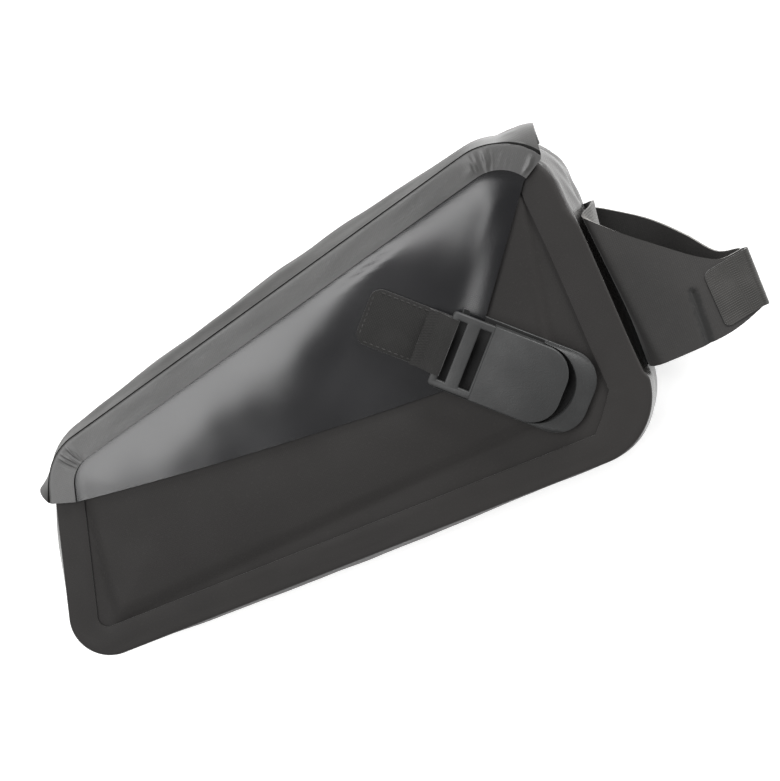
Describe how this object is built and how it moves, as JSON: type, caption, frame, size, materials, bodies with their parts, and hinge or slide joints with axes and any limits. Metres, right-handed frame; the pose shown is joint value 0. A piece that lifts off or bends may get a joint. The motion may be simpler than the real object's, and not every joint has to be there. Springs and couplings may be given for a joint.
{
  "type": "bicycle frame bag",
  "caption": "Small welded half-frame bag with a fitted flap, a hooked strap buckle on its face and a hook-and-loop strap for the bicycle's tube.",
  "frame": {"origin": "centre of the bounding box, on the surface that the bag's flat back rests on", "axes": "+X along the long bottom edge towards the tube strap, +Y across the face towards the flap's edge, +Z out of the front face"},
  "size_m": [0.328, 0.1482, 0.0618],
  "materials": {
    "face_cloth": "matte coated cloth with a fine grain",
    "flap_cloth": "semi-gloss coated cloth",
    "band_cloth": "satin coated cloth, gathered at the corners",
    "strap_cloth": "matte brushed cloth",
    "webbing_grey": "ribbed webbing",
    "buckle_plastic": "fine-grained matte"
  },
  "bodies": {
    "root": {"front_panel": "face_cloth", "back_panel": "face_cloth", "gusset": "face_cloth", "flap_panel": "flap_cloth", "flap_gusset": "band_cloth", "strap_patch": "webbing_grey", "buckle_webbing": "webbing_grey", "buckle_clip": "buckle_plastic", "buckle_base": "buckle_plastic", "tube_strap": "strap_cloth", "strap_tab": "webbing_grey"}
  },
  "joints": []
}
